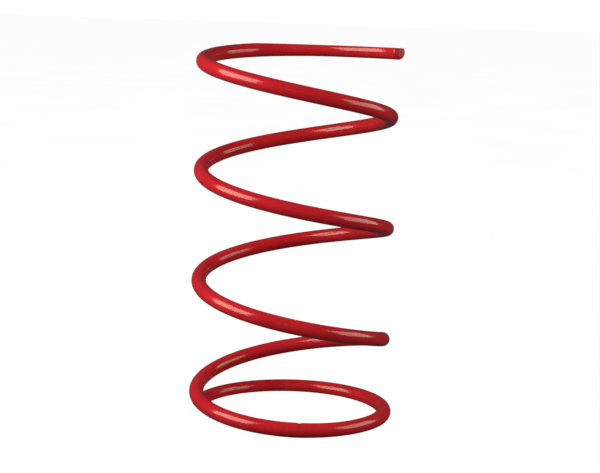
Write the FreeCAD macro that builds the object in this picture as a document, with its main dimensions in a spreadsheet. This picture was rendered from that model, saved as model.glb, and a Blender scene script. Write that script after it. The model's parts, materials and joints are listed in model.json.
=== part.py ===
import FreeCAD, Part
import math
import os

# Compression coil spring, wound left-handed from round wire, with closed end coils ground flat.
# Frame: +Z up along the coil axis, origin on the axis in the plane of the lower seat, millimetres.
# Plan angles run anticlockwise from +X (right; rear is +Y, left is -X, front is -Y). The wire is followed
# down from its upper tip, so the angle grows as the wire falls and gains 360 degrees in each full coil.

DIMENSIONS = {
    "wire_diameter": 10.5,
    "coil_mean_diameter": 136.0,
    "upper_ground_depth": 2.0,
    "lower_ground_depth": 3.1,
    "pitch_upper": 80.6,
    "pitch_lower": 85.3,
    "lower_tip_pitch": 5.5,
    "quarter_turn": 90.0,
    "first_cut_angle": 45.0,
    "upper_tip_angle": 22.0,
    "upper_level_end": 63.0,
    "upper_rise_end": 241.0,
    "pitch_change_start": 945.0,
    "pitch_change_end": 1035.0,
    "lower_rise_start": 1216.0,
    "lower_level_start": 1395.0,
    "lap_mark_angle": 1355.0,
    "lower_tip_angle": 1610.0,
    "upper_flare_start": 90.0,
    "upper_tip_flare": 12.9,
    "lower_swell": 2.8,
    "lower_swell_start": 1305.0,
    "lower_swell_end": 1575.0,
    "tip_rounding": 2.4,
    "grinder_margin": 30.0,
}

# The wire is one piece. Each name is one stretch of it, from the upper tip down to the lower tip.
STRETCHES = [
    "upper_end_tip",
    "upper_end_coil_rear",
    "upper_rise_left",
    "coil_3_front",
    "coil_3_right",
    "coil_3_rear",
    "coil_2_left",
    "coil_2_front",
    "coil_2_right",
    "coil_2_rear",
    "coil_1_left",
    "coil_1_front",
    "coil_1_right",
    "coil_1_rear",
    "lower_rise_left",
    "lower_rise_front",
    "lower_end_coil_front",
    "lower_end_coil_right",
    "lower_end_coil_rear",
    "lower_end_tip",
]

FULL_TURN = 360.0
ANGLE_STEP = 0.01
PATH_STEPS = 12
VOLUME_TOLERANCE = 0.005
TOUCH = 1e-6
RIM_SAMPLES = 8
END_TOLERANCE = 0.02

doc = FreeCAD.newDocument("coil_spring")
sheet = doc.addObject("Spreadsheet::Sheet", "Dimensions")
for row, (alias, value) in enumerate(DIMENSIONS.items(), start=1):
    sheet.set(f"A{row}", alias)
    sheet.set(f"B{row}", str(value))
    sheet.setAlias(f"B{row}", alias)
doc.recompute()


def size(alias):
    """The sheet's value for one driving dimension."""
    return float(sheet.get(alias))


WIRE_RADIUS = size("wire_diameter") / 2
COIL_RADIUS = size("coil_mean_diameter") / 2

# The wire falls at these pitches (mm per full coil) at these plan angles, and changes evenly between them.
PITCH_STATIONS = [
    (size("upper_tip_angle"), 0.0),
    (size("upper_level_end"), 0.0),
    (size("upper_rise_end"), size("pitch_upper")),
    (size("pitch_change_start"), size("pitch_upper")),
    (size("pitch_change_end"), size("pitch_lower")),
    (size("lower_rise_start"), size("pitch_lower")),
    (size("lower_level_start"), 0.0),
    (size("lower_tip_angle"), size("lower_tip_pitch")),
]


def pitch_at(angle):
    """The pitch in mm per full coil at a plan angle."""
    for (first, pitch), (last, next_pitch) in zip(PITCH_STATIONS, PITCH_STATIONS[1:]):
        if angle <= last:
            share = (angle - first) / (last - first)
            return pitch + share * (next_pitch - pitch)
    return PITCH_STATIONS[-1][1]


def height_at(angle):
    """The height of the wire's centre above the lower seat at a plan angle."""
    height = WIRE_RADIUS - size("lower_ground_depth")
    for first, last in zip(PITCH_STATIONS, PITCH_STATIONS[1:]):
        start = max(first[0], angle)
        if start < last[0]:
            mean_pitch = (pitch_at(start) + last[1]) / 2
            height += mean_pitch * (last[0] - start) / FULL_TURN
    return height


def radius_at(angle):
    """The radius of the wire's centre line, which opens towards the upper tip and in the lower end coil."""
    reach = size("upper_flare_start") - size("upper_tip_angle")
    share = max(0.0, (size("upper_flare_start") - angle) / reach)
    radius = COIL_RADIUS + size("upper_tip_flare") * share**2
    start, end = size("lower_swell_start"), size("lower_swell_end")
    if start < angle < end:
        radius += size("lower_swell") * math.sin(math.pi * (angle - start) / (end - start)) ** 2
    return radius


def centre(angle):
    """A point on the wire's centre line."""
    turned = math.radians(angle)
    radius = radius_at(angle)
    return FreeCAD.Vector(radius * math.cos(turned), radius * math.sin(turned), height_at(angle))


def downward(angle):
    """The direction of the wire as it falls past a plan angle, taken over one small step of it."""
    last = min(angle + ANGLE_STEP, size("lower_tip_angle"))
    return (centre(last) - centre(last - ANGLE_STEP)).normalize()


def check_volume(shape, length, label):
    """A swept stretch holds its section times its length."""
    expected = math.pi * WIRE_RADIUS**2 * length
    if abs(shape.Volume / expected - 1) > VOLUME_TOLERANCE:
        raise RuntimeError(f"{label}: volume {shape.Volume:.1f}, expected {expected:.1f}")


def quarter_turn_pattern(pitch_alias):
    """The path and the wire section that every quarter turn of one pitch is swept from."""
    path = doc.addObject("Part::Helix", f"{pitch_alias}_path")
    path.LocalCoord = "Left-handed"
    path.setExpression("Pitch", f"Dimensions.{pitch_alias}")
    path.setExpression("Height", f"Dimensions.{pitch_alias} * Dimensions.quarter_turn / {FULL_TURN}")
    path.setExpression("Radius", "Dimensions.coil_mean_diameter / 2")
    section = doc.addObject("Part::Circle", f"{pitch_alias}_section")
    section.Placement.Rotation = FreeCAD.Rotation(FreeCAD.Vector(1, 0, 0), 1)
    section.setExpression("Radius", "Dimensions.wire_diameter / 2")
    section.setExpression("Placement.Base.x", "Dimensions.coil_mean_diameter / 2")
    slope = f"atan(Dimensions.{pitch_alias} / (pi * Dimensions.coil_mean_diameter))"
    section.setExpression("Placement.Rotation.Angle", f"90 deg - {slope}")
    return path, section


def quarter_turn(label, pattern, last):
    """One quarter turn of constant pitch, which rises from the plan angle last."""
    path, section = pattern
    stretch = doc.addObject("Part::Sweep", label)
    stretch.Spine = (path, ["Edge1"])
    stretch.Sections = [section]
    stretch.Solid = True
    stretch.Frenet = True
    turn = FreeCAD.Rotation(FreeCAD.Vector(0, 0, 1), last)
    stretch.Placement = FreeCAD.Placement(FreeCAD.Vector(0, 0, height_at(last)), turn)
    doc.recompute()
    check_volume(stretch.Shape, path.Shape.Length, label)
    return stretch


def formed_stretch(label, first, last):
    """A stretch where the pitch or the coil radius changes along the wire."""
    angles = [first + (last - first) * step / PATH_STEPS for step in range(PATH_STEPS + 1)]
    curve = Part.BSplineCurve()
    curve.interpolate(
        Points=[centre(angle) for angle in angles],
        InitialTangent=downward(first),
        FinalTangent=downward(last),
    )
    path = Part.Wire([curve.toShape()])
    section = Part.Wire([Part.makeCircle(WIRE_RADIUS, centre(first), downward(first))])
    stretch = doc.addObject("Part::Feature", label)
    stretch.Shape = path.makePipeShell([section], True, True)
    check_volume(stretch.Shape, path.Length, label)
    return stretch


def rim_of_end(shape, tip_angle):
    """The numbers of the curved edges round the cut end of the wire."""
    tip, along = centre(tip_angle), downward(tip_angle)
    numbers = []
    for number, edge in enumerate(shape.Edges, start=1):
        off_the_end = max(abs((point - tip).dot(along)) for point in edge.discretize(RIM_SAMPLES))
        if off_the_end < END_TOLERANCE and not isinstance(edge.Curve, Part.Line):
            numbers.append(number)
    return numbers


def rounded_tip(label, blank, tip_angle):
    """The blank with the rim of its cut end rounded over."""
    rounded = doc.addObject("Part::Fillet", label)
    rounded.Base = blank
    radius = size("tip_rounding")
    rounded.Edges = [(number, radius, radius) for number in rim_of_end(blank.Shape, tip_angle)]
    doc.recompute()
    return rounded


def grinder(name, side):
    """A block whose face is the plane that one end of the spring is ground to: side 1 on top, -1 below."""
    block = doc.addObject("Part::Box", name)
    span = "Dimensions.coil_mean_diameter + 2 * Dimensions.grinder_margin"
    block.setExpression("Length", span)
    block.setExpression("Width", span)
    block.setExpression("Height", "Dimensions.grinder_margin")
    block.setExpression("Placement.Base.x", f"-({span}) / 2")
    block.setExpression("Placement.Base.y", f"-({span}) / 2")
    free_length = height_at(size("upper_tip_angle")) + WIRE_RADIUS - size("upper_ground_depth")
    block.Placement.Base.z = free_length if side > 0 else -size("grinder_margin")
    return block


def ground(label, blank, block):
    """The blank after its seat is ground flat."""
    stretch = doc.addObject("Part::Cut", label)
    stretch.Base = blank
    stretch.Tool = block
    stretch.Refine = False
    doc.recompute()
    return stretch


def needs_grinding(first, last):
    """Which grinding block a stretch touches, if any."""
    reach = WIRE_RADIUS - TOUCH
    if height_at(last) < reach:
        return lower_grinder
    if height_at(first) > upper_grinder.Placement.Base.z - reach:
        return upper_grinder
    return None


def cut_angles():
    """The plan angles that divide the wire: quarter turns, the lap mark and the two tips."""
    angles = [size("upper_tip_angle"), size("first_cut_angle")]
    while angles[-1] + size("quarter_turn") < size("lower_tip_angle"):
        angles.append(angles[-1] + size("quarter_turn"))
    lower_end = [angle for angle in angles if angle > size("lap_mark_angle")]
    angles[-len(lower_end):] = [size("lap_mark_angle")] + lower_end
    return angles + [size("lower_tip_angle")]


def wire_stretch(name, first, last):
    """One named stretch of the finished wire between two plan angles."""
    block = needs_grinding(first, last)
    tips = [angle for angle in (first, last) if angle in (CUTS[0], CUTS[-1])]
    blank_name = f"{name}_blank" if block or tips else name
    pitches = [pitch_at(first), pitch_at((first + last) / 2), pitch_at(last)]
    if min(pitches) == max(pitches) and pitches[0] in PATTERNS:
        stretch = quarter_turn(blank_name, PATTERNS[pitches[0]], last)
    else:
        stretch = formed_stretch(blank_name, first, last)
    if block:
        stretch = ground(f"{name}_ground" if tips else name, stretch, block)
    for tip_angle in tips:
        stretch = rounded_tip(name, stretch, tip_angle)
    stretch.Label = name
    return stretch


lower_grinder = grinder("lower_grinder", -1)
upper_grinder = grinder("upper_grinder", 1)
PATTERNS = {size(alias): quarter_turn_pattern(alias) for alias in ("pitch_upper", "pitch_lower")}
CUTS = cut_angles()
finished = [wire_stretch(name, *ends) for name, ends in zip(STRETCHES, zip(CUTS, CUTS[1:]))]
doc.recompute()

for item in doc.Objects:
    if "Invalid" in item.State or "Error" in item.State:
        raise RuntimeError(f"{item.Label} did not build: {item.State}")
for item in finished:
    if item.Shape.isNull() or not item.Shape.isValid() or len(item.Shape.Solids) != 1:
        raise RuntimeError(f"{item.Label} is not one valid solid")

os.makedirs("parts", exist_ok=True)
for item in finished:
    item.Shape.exportStep(f"parts/{item.Label}.step")
    print(f"{item.Label}: {item.Shape.Volume:.0f} mm3")
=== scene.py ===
import json
import math

import bmesh
import bpy
from mathutils import Matrix, Vector


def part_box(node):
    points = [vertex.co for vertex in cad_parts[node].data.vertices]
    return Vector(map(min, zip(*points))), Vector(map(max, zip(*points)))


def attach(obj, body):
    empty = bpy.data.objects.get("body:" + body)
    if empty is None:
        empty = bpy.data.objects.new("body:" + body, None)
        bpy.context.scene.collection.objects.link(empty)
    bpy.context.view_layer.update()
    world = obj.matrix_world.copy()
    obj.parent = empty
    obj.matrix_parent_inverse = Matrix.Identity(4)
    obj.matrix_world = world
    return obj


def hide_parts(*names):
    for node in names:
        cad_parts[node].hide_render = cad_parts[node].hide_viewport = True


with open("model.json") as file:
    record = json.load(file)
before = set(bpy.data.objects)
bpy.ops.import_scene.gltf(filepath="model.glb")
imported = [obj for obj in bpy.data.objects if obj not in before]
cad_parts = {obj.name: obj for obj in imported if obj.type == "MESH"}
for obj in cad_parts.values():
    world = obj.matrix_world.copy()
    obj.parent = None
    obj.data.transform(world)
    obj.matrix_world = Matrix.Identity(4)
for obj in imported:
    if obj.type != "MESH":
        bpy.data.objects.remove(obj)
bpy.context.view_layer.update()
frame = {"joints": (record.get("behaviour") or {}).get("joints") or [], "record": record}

# The coil spring's looks. Every length is in metres, apart from the lens and its sensor, which are in
# millimetres. Plan angles are in degrees: they run anticlockwise from +X, and grow down the wire from
# the upper tip, by 360 in each coil. Angles round the wire's own section are in radians, from its
# outer side over its top.

# ---------------------------------------------------------------- sizes from the frame
RECORD = frame["record"]
MOUNTS = {mount["name"]: mount for mount in RECORD["mounts"]}
MILLIMETRE = 0.001
BORE_RADIUS = MOUNTS["coil_bore"]["dims"]["r_mm"] * MILLIMETRE
OUTER_RADIUS = -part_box("coil_2_left")[0].x
WIRE_RADIUS = (OUTER_RADIUS - BORE_RADIUS) / 2
COIL_RADIUS = (OUTER_RADIUS + BORE_RADIUS) / 2
LOWER_SEAT = MOUNTS["lower_seat"]["pos_m"][2]
UPPER_SEAT = MOUNTS["upper_seat"]["pos_m"][2]
UPPER_GROUND_DEPTH = 2.0 * MILLIMETRE
LOWER_GROUND_DEPTH = 3.1 * MILLIMETRE

# ---------------------------------------------------------------- the wire's line
FULL_TURN = 360
QUARTER = 90
UPPER_TIP, FIRST_CUT, UPPER_LEVEL_END, FLARE_START = 22, 45, 63, 90
LOWER_RISE_START, LAP_MARK, LOWER_LEVEL_START, LOWER_TIP = 1216, 1355, 1395, 1610
UPPER_JOINT = 135
TIP_FLARE = 12.9 * MILLIMETRE
LOWER_SWELL = 2.8 * MILLIMETRE
SWELL_START, SWELL_END = 1305, 1575
TIP_SLOPE = 5.5 * MILLIMETRE / FULL_TURN
TANGENT_STEP = 0.05  # plan degrees to either side of a point, for the wire's direction there

# The stretches that the wire is divided into, from the upper tip down to the lower tip.
STRETCHES = [
    "upper_end_tip", "upper_end_coil_rear", "upper_rise_left",
    "coil_3_front", "coil_3_right", "coil_3_rear",
    "coil_2_left", "coil_2_front", "coil_2_right", "coil_2_rear",
    "coil_1_left", "coil_1_front", "coil_1_right", "coil_1_rear",
    "lower_rise_left", "lower_rise_front",
    "lower_end_coil_front", "lower_end_coil_right", "lower_end_coil_rear", "lower_end_tip",
]


def twist_stations():
    """(plan angle, height, fall per degree) of the wire at each twist joint, from the top down."""
    stations = []
    for joint in frame["joints"]:
        x, y, z = joint["pos_m"]
        across = math.hypot(joint["axis"][0], joint["axis"][1])
        fall = joint["axis"][2] / across * math.hypot(x, y) * math.radians(1)
        stations.append((z, fall))
    stations.sort(reverse=True)
    return [(UPPER_JOINT + QUARTER * number, *station) for number, station in enumerate(stations)]


def wire_stations():
    """The twist joints' stations with those of the two end coils, from the upper tip to the lower one."""
    joints = twist_stations()
    last_angle, last_height, last_fall = joints[-1]
    top = UPPER_SEAT - WIRE_RADIUS + UPPER_GROUND_DEPTH
    tip_height = LOWER_SEAT + WIRE_RADIUS - LOWER_GROUND_DEPTH
    level_height = tip_height + TIP_SLOPE * (LOWER_TIP - LOWER_LEVEL_START) / 2
    rise_height = last_height - last_fall * (LOWER_RISE_START - last_angle)
    upper = [(UPPER_TIP, top, 0.0), (UPPER_LEVEL_END, top, 0.0)]
    lower = [
        (LOWER_RISE_START, rise_height, last_fall),
        (LOWER_LEVEL_START, level_height, 0.0),
        (LOWER_TIP, tip_height, TIP_SLOPE),
    ]
    return upper + joints + lower


STATIONS = wire_stations()


def wire_height(angle):
    """The height of the wire's centre, a cubic between the two stations round the angle."""
    above, below = STATIONS[0], STATIONS[1]
    for first, last in zip(STATIONS, STATIONS[1:]):
        above, below = first, last
        if angle <= last[0]:
            break
    span = below[0] - above[0]
    t = (angle - above[0]) / span
    return (
        above[1] * (2 * t**3 - 3 * t**2 + 1)
        - above[2] * span * (t**3 - 2 * t**2 + t)
        + below[1] * (3 * t**2 - 2 * t**3)
        - below[2] * span * (t**3 - t**2)
    )


def wire_centre(angle):
    """A point on the wire's centre line, which opens out at the upper tip and in the lower end coil."""
    share = max(0.0, (FLARE_START - angle) / (FLARE_START - UPPER_TIP))
    radius = COIL_RADIUS + TIP_FLARE * share**2
    if SWELL_START < angle < SWELL_END:
        swell = math.sin(math.pi * (angle - SWELL_START) / (SWELL_END - SWELL_START))
        radius += LOWER_SWELL * swell**2
    turned = math.radians(angle)
    return Vector((radius * math.cos(turned), radius * math.sin(turned), wire_height(angle)))


def wire_axes(angle):
    """(down the wire, outwards, upwards): three directions square to each other at a point of the wire."""
    along = (wire_centre(angle + TANGENT_STEP) - wire_centre(angle - TANGENT_STEP)).normalized()
    outwards = Vector((math.cos(math.radians(angle)), math.sin(math.radians(angle)), 0))
    outwards = (outwards - along * outwards.dot(along)).normalized()
    return along, outwards, outwards.cross(along)


# ---------------------------------------------------------------- materials
# The paint's colours from its darker patches to its lighter ones, as (position, colour).
PAINT_COLOURS = [(0.30, (0.52, 0.013, 0.023)), (0.55, (0.60, 0.016, 0.028)), (0.75, (0.65, 0.020, 0.032))]
# Darker paint, mixed in by the mask of wear and painted shade: worn seat faces, and painted shade on the
# tip's end face and round the nick.
WORN_AND_SHADED_COLOUR = (0.16, 0.012, 0.012)
WORN_ROUGHNESS = 0.5  # added to the paint's own where the mask of wear and painted shade is full
PAINT_IOR = 1.55


def new_material(name):
    material = bpy.data.materials.new(name)
    material.use_nodes = True
    nodes = material.node_tree.nodes
    return material, nodes, material.node_tree.links, nodes["Principled BSDF"]


def add_node(nodes, kind, **values):
    """A new node with its sockets or properties set by name."""
    node = nodes.new(kind)
    for key, value in values.items():
        if key in node.inputs:
            node.inputs[key].default_value = value
        else:
            setattr(node, key, value)
    return node


def noise(nodes, links, coordinates, scale, detail=3.0):
    texture = add_node(nodes, "ShaderNodeTexNoise", Scale=scale, Detail=detail)
    links.new(coordinates.outputs["Object"], texture.inputs["Vector"])
    return texture


def colour_ramp(nodes, links, source, stops):
    """Maps a grey value to colours: stops are (position, colour)."""
    ramp = nodes.new("ShaderNodeValToRGB")
    elements = ramp.color_ramp.elements
    while len(elements) < len(stops):
        elements.new(0.5)
    for element, (position, colour) in zip(elements, stops):
        element.position = position
        element.color = (*colour, 1)
    links.new(source, ramp.inputs["Fac"])
    return ramp


def red_paint(name, ground=False):
    """Gloss red paint over steel wire: slightly mottled, with orange peel, and darker and dull under the
    mask of wear and painted shade: worn seat faces, and painted shade on the tip's end face and round the
    nick.
    """
    material, nodes, links, shader = new_material(name)
    coordinates = nodes.new("ShaderNodeTexCoord")
    cloud = noise(nodes, links, coordinates, scale=38)
    speck = noise(nodes, links, coordinates, scale=900, detail=2.0)
    paint = colour_ramp(nodes, links, cloud.outputs["Fac"], PAINT_COLOURS)
    # The mask of wear and painted shade: worn seat faces, and painted shade on the tip's end face and round
    # the nick.
    worn_and_shaded = add_node(nodes, "ShaderNodeAttribute", attribute_name="wear_and_shade")
    wear_and_shade_mix = add_node(nodes, "ShaderNodeMath", operation="MULTIPLY")
    links.new(worn_and_shaded.outputs["Fac"], wear_and_shade_mix.inputs[0])
    links.new(speck.outputs["Fac"], wear_and_shade_mix.inputs[1])
    mix = nodes.new("ShaderNodeMixRGB")
    mix.inputs["Color2"].default_value = (*WORN_AND_SHADED_COLOUR, 1)
    links.new(wear_and_shade_mix.outputs["Value"], mix.inputs["Fac"])
    links.new(paint.outputs["Color"], mix.inputs["Color1"])
    links.new(mix.outputs["Color"], shader.inputs["Base Color"])
    gloss = add_node(nodes, "ShaderNodeMapRange", **{"To Min": 0.12, "To Max": 0.19})
    links.new(cloud.outputs["Fac"], gloss.inputs["Value"])
    dulled = add_node(nodes, "ShaderNodeMath", operation="MULTIPLY_ADD")
    dulled.inputs[1].default_value = WORN_ROUGHNESS
    links.new(worn_and_shaded.outputs["Fac"], dulled.inputs[0])
    links.new(gloss.outputs["Result"], dulled.inputs[2])
    links.new(dulled.outputs["Value"], shader.inputs["Roughness"])
    shine = add_node(nodes, "ShaderNodeMapRange", **{"To Min": 0.5, "To Max": 0.0})
    links.new(worn_and_shaded.outputs["Fac"], shine.inputs["Value"])
    links.new(shine.outputs["Result"], shader.inputs["Specular IOR Level"])
    shader.inputs["IOR"].default_value = PAINT_IOR
    peel = noise(nodes, links, coordinates, scale=420, detail=1.0)
    bump = add_node(nodes, "ShaderNodeBump", Strength=0.10, Distance=0.00025)
    links.new(peel.outputs["Fac"], bump.inputs["Height"])
    last = bump
    if ground:
        rings = add_node(nodes, "ShaderNodeTexWave", wave_type="RINGS", rings_direction="Z", Scale=300.0)
        rings.inputs["Distortion"].default_value = 1.5
        links.new(coordinates.outputs["Object"], rings.inputs["Vector"])
        grind = add_node(nodes, "ShaderNodeBump", Strength=0.35, Distance=0.00012)
        links.new(rings.outputs["Fac"], grind.inputs["Height"])
        links.new(bump.outputs["Normal"], grind.inputs["Normal"])
        last = grind
    links.new(last.outputs["Normal"], shader.inputs["Normal"])
    return material


PAINT = red_paint("gloss_red_paint")
GROUND_PAINT = red_paint("red_paint_on_ground_seat", ground=True)

# ---------------------------------------------------------------- the wire's mesh
RING_STEP = 1.25

# The nick's measures along the wire are in plan degrees. NICK_SPREAD and SCRATCH_CROSSING are angles
# round the section from the wire's top, and SCRATCH_SLANT is in plan degrees for each radian of them.
NICK_ANGLE = LAP_MARK + 2.2
NICK_REACH = 2.2
NICK_STEP = 0.11
NICK_HALF_WIDTH = 1.1
NICK_DEPTH = 1.15 * MILLIMETRE
NICK_SPREAD = 1.0
# Darker paint round the nick: partly worn paint, partly painted shade in and round the notch.
NICK_WEAR_AND_SHADE = 0.9
SCRATCH_SLANT = 0.8
SCRATCH_CROSSING = 0.75
SCRATCH_HALF_WIDTH = 0.35
SCRATCH_DEPTH = 0.16 * MILLIMETRE

SIDES = 64
SHARP_ANGLE = math.radians(28)
TIP_ROUNDING = 2.4 * MILLIMETRE
TIP_RINGS = 9
# Painted shade: darkens the paint over the tip's rounding and end face.
TIP_PAINTED_SHADE = 0.6
SEAT_WEAR = 0.5
SEAM_GAP = 0.005 * MILLIMETRE
GRIND_MARGIN = 0.001 * MILLIMETRE
GRIND_TOLERANCE = 0.0001 * MILLIMETRE


def nick(angle, turned):
    """(depth, wear and shade) of the nick beyond the lap mark: a V across the wire's top, two crossing
    scratches over its outer side, and darker paint round them, partly worn paint and partly painted shade."""
    away = angle - NICK_ANGLE
    below_top = abs(turned - math.pi / 2)
    if abs(away) > NICK_REACH or below_top > math.pi / 2:
        return 0.0, 0.0
    notch = NICK_DEPTH * max(0.0, 1 - below_top / NICK_SPREAD) * max(0.0, 1 - abs(away) / NICK_HALF_WIDTH)
    scratch = 0.0
    if turned < math.pi / 2:
        for slant in (SCRATCH_SLANT, -SCRATCH_SLANT):
            offset = abs(away - slant * (below_top - SCRATCH_CROSSING)) / SCRATCH_HALF_WIDTH
            scratch = max(scratch, SCRATCH_DEPTH * max(0.0, 1 - offset))
    worn_and_shaded = (1 - (away / NICK_REACH) ** 2) * (1 - (below_top / (math.pi / 2)) ** 4)
    return max(notch, scratch), NICK_WEAR_AND_SHADE * worn_and_shaded


def ring_points(angle, shrink=0.0, shift=0.0, wear_and_shade=0.0):
    """One ring of the tube, as (point, wear and painted shade): shrink makes it smaller, shift slides it
    down the wire.
    """
    along, outwards, upwards = wire_axes(angle)
    middle = wire_centre(angle) + along * shift
    points = []
    for side in range(SIDES):
        turned = 2 * math.pi * (side + 0.5) / SIDES
        depth, worn_and_shaded = nick(angle, turned if turned < 3 * math.pi / 2 else turned - 2 * math.pi)
        radius = WIRE_RADIUS - shrink - depth
        point = middle + (outwards * math.cos(turned) + upwards * math.sin(turned)) * radius
        points.append((point, max(wear_and_shade, worn_and_shaded)))
    return points


def tip_rings(angle, direction, rounding):
    """Rings that round a cut end over, from the full tube to the flat end face, with painted shade
    darkening the paint towards the end face.
    """
    rings = []
    for number in range(TIP_RINGS):
        turned = math.pi / 2 * number / (TIP_RINGS - 1)
        shrink = rounding * (1 - math.cos(turned))
        shift = direction * rounding * (math.sin(turned) - 1)
        rings.append(ring_points(angle, shrink, shift, TIP_PAINTED_SHADE * turned / (math.pi / 2)))
    return rings


def spaced(first, last, step):
    """Evenly spaced angles from first to last, about a step apart, with both ends."""
    count = max(1, round((last - first) / step))
    return [first + (last - first) * number / count for number in range(count + 1)]


def ring_angles(first, last):
    """The angles of a stretch's rings, which lie closer together at the nick."""
    nick_end = NICK_ANGLE + NICK_REACH
    if first < nick_end < last:
        return spaced(first, nick_end, NICK_STEP)[:-1] + spaced(nick_end, last, RING_STEP)
    return spaced(first, last, RING_STEP)


def rings_between(first, last, round_first=0.0, round_last=0.0):
    """The tube's rings from one plan angle to another, with either end rounded over if it is a real end."""
    degrees_per_metre = math.degrees(1 / COIL_RADIUS)
    start = first + (round_first or SEAM_GAP) * degrees_per_metre
    end = last - (round_last or SEAM_GAP) * degrees_per_metre
    rings = [ring_points(angle) for angle in ring_angles(start, end)]
    if round_first:
        rings = tip_rings(first, -1, round_first)[::-1] + rings[1:]
    if round_last:
        rings = rings[:-1] + tip_rings(last, 1, round_last)
    return rings


def tube(rings):
    """A closed tube through the rings."""
    mesh = bmesh.new()
    wear_and_shade_of = mesh.verts.layers.float.new("wear_and_shade")
    loops = []
    for ring in rings:
        loop = []
        for point, wear_and_shade in ring:
            vertex = mesh.verts.new(point)
            vertex[wear_and_shade_of] = wear_and_shade
            loop.append(vertex)
        loops.append(loop)
    for loop, following in zip(loops, loops[1:]):
        for side in range(SIDES):
            after = (side + 1) % SIDES
            mesh.faces.new((loop[side], following[side], following[after], loop[after]))
    mesh.faces.new(loops[0])
    mesh.faces.new(loops[-1][::-1])
    bmesh.ops.recalc_face_normals(mesh, faces=mesh.faces)
    return mesh


def grind(mesh, height, side):
    """Cuts the mesh flat at a height and closes it: side 1 takes off what is above, -1 what is below."""
    everything = mesh.verts[:] + mesh.edges[:] + mesh.faces[:]
    bmesh.ops.bisect_plane(
        mesh, geom=everything, dist=GRIND_TOLERANCE,
        plane_co=(0, 0, height), plane_no=(0, 0, side), clear_outer=True,
    )
    rim = [edge for edge in mesh.edges if edge.is_boundary]
    if not rim:
        return
    flat = bmesh.ops.contextual_create(mesh, geom=rim)["faces"]
    wear_and_shade_of = mesh.verts.layers.float["wear_and_shade"]
    for face in flat:
        face.material_index = 1
        for vertex in face.verts:
            vertex[wear_and_shade_of] = SEAT_WEAR
    bmesh.ops.recalc_face_normals(mesh, faces=mesh.faces)


def finish_mesh(mesh, name):
    """Turns the mesh into an object, shaded smooth except at its sharp edges."""
    for face in mesh.faces:
        face.smooth = True
    for edge in mesh.edges:
        if len(edge.link_faces) == 2 and edge.calc_face_angle(0) > SHARP_ANGLE:
            edge.smooth = False
    data = bpy.data.meshes.new(name)
    mesh.to_mesh(data)
    mesh.free()
    data.materials.append(PAINT)
    data.materials.append(GROUND_PAINT)
    piece = bpy.data.objects.new(name, data)
    bpy.context.scene.collection.objects.link(piece)
    return piece


def wire_piece(node, body, first, last):
    """The finished stretch of wire that stands for one CAD node."""
    round_first = TIP_ROUNDING if first == UPPER_TIP else 0.0
    round_last = TIP_ROUNDING if last == LOWER_TIP else 0.0
    mesh = tube(rings_between(first, last, round_first, round_last))
    if wire_height(first) + WIRE_RADIUS > UPPER_SEAT + GRIND_MARGIN:
        grind(mesh, UPPER_SEAT, 1)
    if wire_height(last) - WIRE_RADIUS < LOWER_SEAT - GRIND_MARGIN:
        grind(mesh, LOWER_SEAT, -1)
    piece = finish_mesh(mesh, f"{node}_painted")
    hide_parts(node)
    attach(piece, body)
    return piece


CUTS = sorted([UPPER_TIP, LAP_MARK, LOWER_TIP] + list(range(FIRST_CUT, LOWER_TIP, QUARTER)))
BODY_OF = {node: body for body, nodes in RECORD["behaviour"]["bodies"].items() for node in nodes}
PIECES = [
    wire_piece(node, BODY_OF[node], first, last)
    for node, first, last in zip(STRETCHES, CUTS, CUTS[1:])
]

# ---------------------------------------------------------------- floor, light and camera
SENSOR_WIDTH = 36.0
CAMERA_LENS = 93.284
CAMERA_DISTANCE = 1.1325
CAMERA_PITCH = math.radians(8.069)
CAMERA_ROLL = math.radians(-1.787)
AIM_RIGHT = 4.83 * MILLIMETRE
AIM_UP = -8.34 * MILLIMETRE
AIM_HEIGHT = 139.8 * MILLIMETRE
SOFTBOX_COLOUR = (1.0, 0.93, 0.76)
ROOM_GLOW = 0.045
FLOOR_LIGHT = 3.3
FLOOR_HALF = 60.0


def add_camera():
    forward = Vector((0, math.cos(CAMERA_PITCH), -math.sin(CAMERA_PITCH)))
    level_up = Vector((0, math.sin(CAMERA_PITCH), math.cos(CAMERA_PITCH)))
    level_right = Vector((1, 0, 0))
    right = level_right * math.cos(CAMERA_ROLL) - level_up * math.sin(CAMERA_ROLL)
    up = level_right * math.sin(CAMERA_ROLL) + level_up * math.cos(CAMERA_ROLL)
    aim = Vector((0, 0, AIM_HEIGHT)) + right * AIM_RIGHT + up * AIM_UP
    data = bpy.data.cameras.new("camera")
    data.lens = CAMERA_LENS
    data.sensor_width = SENSOR_WIDTH
    data.clip_start, data.clip_end = 0.01, 200
    camera = bpy.data.objects.new("camera", data)
    bpy.context.scene.collection.objects.link(camera)
    turn = Matrix((right, up, -forward)).transposed().to_4x4()
    camera.matrix_world = Matrix.Translation(aim - forward * CAMERA_DISTANCE) @ turn
    bpy.context.scene.camera = camera


def lit_only(light, name, receivers):
    """Makes the light fall only on some objects, and returns their collection."""
    group = bpy.data.collections.new(name)
    for receiver in receivers:
        group.objects.link(receiver)
    light.light_linking.receiver_collection = group
    return group


def add_softbox(name, azimuth, elevation, distance, width, height, power, shiny=True):
    """A soft rectangular light aimed at the spring's middle. Azimuth 0 is the front, 90 the right.
    One that isn't shiny shows in no reflection."""
    data = bpy.data.lights.new(name, "AREA")
    data.shape = "RECTANGLE"
    data.size, data.size_y = width, height
    data.energy = power
    data.color = SOFTBOX_COLOUR
    light = bpy.data.objects.new(name, data)
    light.visible_glossy = shiny
    bpy.context.scene.collection.objects.link(light)
    turned, raised = math.radians(azimuth), math.radians(elevation)
    towards = Vector(
        (math.sin(turned) * math.cos(raised), -math.cos(turned) * math.cos(raised), math.sin(raised))
    )
    light.location = Vector((0, 0, UPPER_SEAT / 2)) + towards * distance
    light.rotation_mode = "QUATERNION"
    light.rotation_quaternion = towards.to_track_quat("Z", "Y")
    lit_only(light, f"lit_by_{name}", PIECES)


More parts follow.
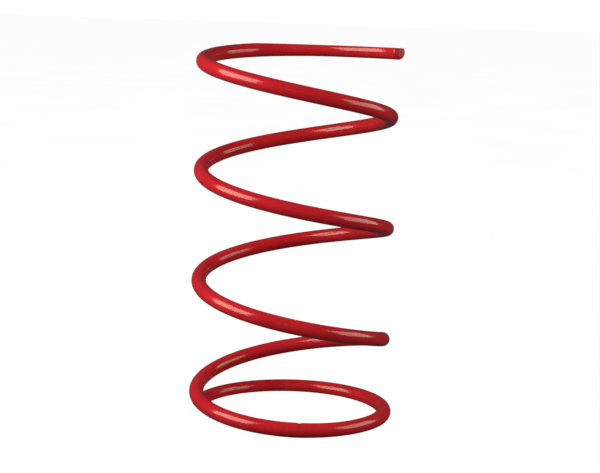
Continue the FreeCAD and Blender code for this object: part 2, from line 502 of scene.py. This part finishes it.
def add_floor_light(floor):
    """An even light on the floor alone, which the spring casts no shadow from."""
    data = bpy.data.lights.new("floor_light", "SUN")
    data.energy = FLOOR_LIGHT
    light = bpy.data.objects.new("floor_light", data)
    light.visible_glossy = False
    bpy.context.scene.collection.objects.link(light)
    light.light_linking.blocker_collection = lit_only(light, "lit_by_floor_light", [floor])


def add_floor():
    material, nodes, links, shader = new_material("pale_floor")
    coordinates = nodes.new("ShaderNodeTexCoord")
    cloud = noise(nodes, links, coordinates, scale=3)
    tone = colour_ramp(
        nodes, links, cloud.outputs["Fac"], [(0.3, (0.925, 0.925, 0.925)), (0.7, (0.94, 0.94, 0.94))]
    )
    links.new(tone.outputs["Color"], shader.inputs["Base Color"])
    shader.inputs["Roughness"].default_value = 0.9
    shader.inputs["Specular IOR Level"].default_value = 0.1
    mesh = bmesh.new()
    corners = [(-1, -1), (1, -1), (1, 1), (-1, 1)]
    mesh.faces.new([mesh.verts.new((x * FLOOR_HALF, y * FLOOR_HALF, LOWER_SEAT)) for x, y in corners])
    data = bpy.data.meshes.new("floor")
    mesh.to_mesh(data)
    mesh.free()
    data.materials.append(material)
    floor = bpy.data.objects.new("floor", data)
    floor.visible_diffuse = False
    floor.visible_glossy = False
    bpy.context.scene.collection.objects.link(floor)
    return floor


def add_world():
    world = bpy.data.worlds.new("studio")
    world.use_nodes = True
    nodes, links = world.node_tree.nodes, world.node_tree.links
    background = nodes["Background"]
    background.inputs["Color"].default_value = (1, 1, 1, 1)
    path = nodes.new("ShaderNodeLightPath")
    strength = add_node(nodes, "ShaderNodeMapRange", **{"To Min": ROOM_GLOW, "To Max": 1.0})
    links.new(path.outputs["Is Camera Ray"], strength.inputs["Value"])
    links.new(strength.outputs["Result"], background.inputs["Strength"])
    bpy.context.scene.world = world


add_camera()
add_world()
add_softbox(
    "left_softbox", azimuth=-66, elevation=26, distance=0.75, width=0.64, height=0.62, power=6.3,
)
add_softbox(
    "right_softbox", azimuth=86, elevation=18, distance=0.75, width=0.70, height=0.48, power=3.0,
)
add_softbox(
    "front_fill", azimuth=0, elevation=20, distance=0.95, width=0.50, height=0.30, power=2.35, shiny=False,
)
add_floor_light(add_floor())
bpy.context.scene.view_settings.view_transform = "Standard"
